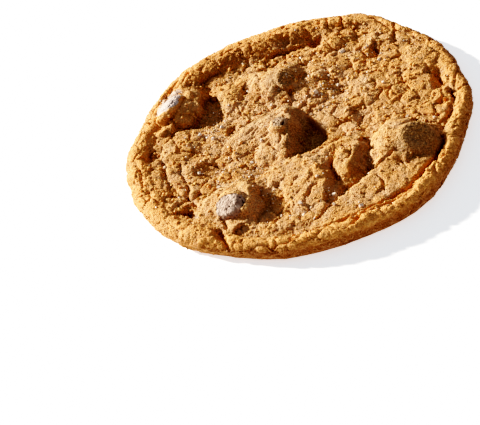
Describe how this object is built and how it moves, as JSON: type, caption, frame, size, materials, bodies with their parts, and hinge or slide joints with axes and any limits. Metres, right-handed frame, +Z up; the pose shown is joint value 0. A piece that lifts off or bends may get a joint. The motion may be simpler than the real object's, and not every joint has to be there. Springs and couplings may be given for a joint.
{
  "type": "thin chocolate chip cookie",
  "caption": "Thin round cookie with a rolled crisp rim, craggy cracked top, mounds over chocolate chips and scattered salt crystals.",
  "frame": {"origin": "middle of the flat bottom, at the centre of the outline's box", "axes": "+Z up through the thickness, the chip with the white edge at -X +Y and the two front chips at -Y"},
  "size_m": [0.0904, 0.09, 0.0088],
  "materials": {
    "dough": "baked golden brown crumb, matte",
    "chocolate": "chocolate with a grey-brown bloom, satin"
  },
  "bodies": {
    "root": {"dough": "dough", "chip_front": "chocolate", "chip_left": "chocolate", "chip_middle": "chocolate", "chip_right": "chocolate", "chip_upper": "chocolate"}
  },
  "joints": []
}
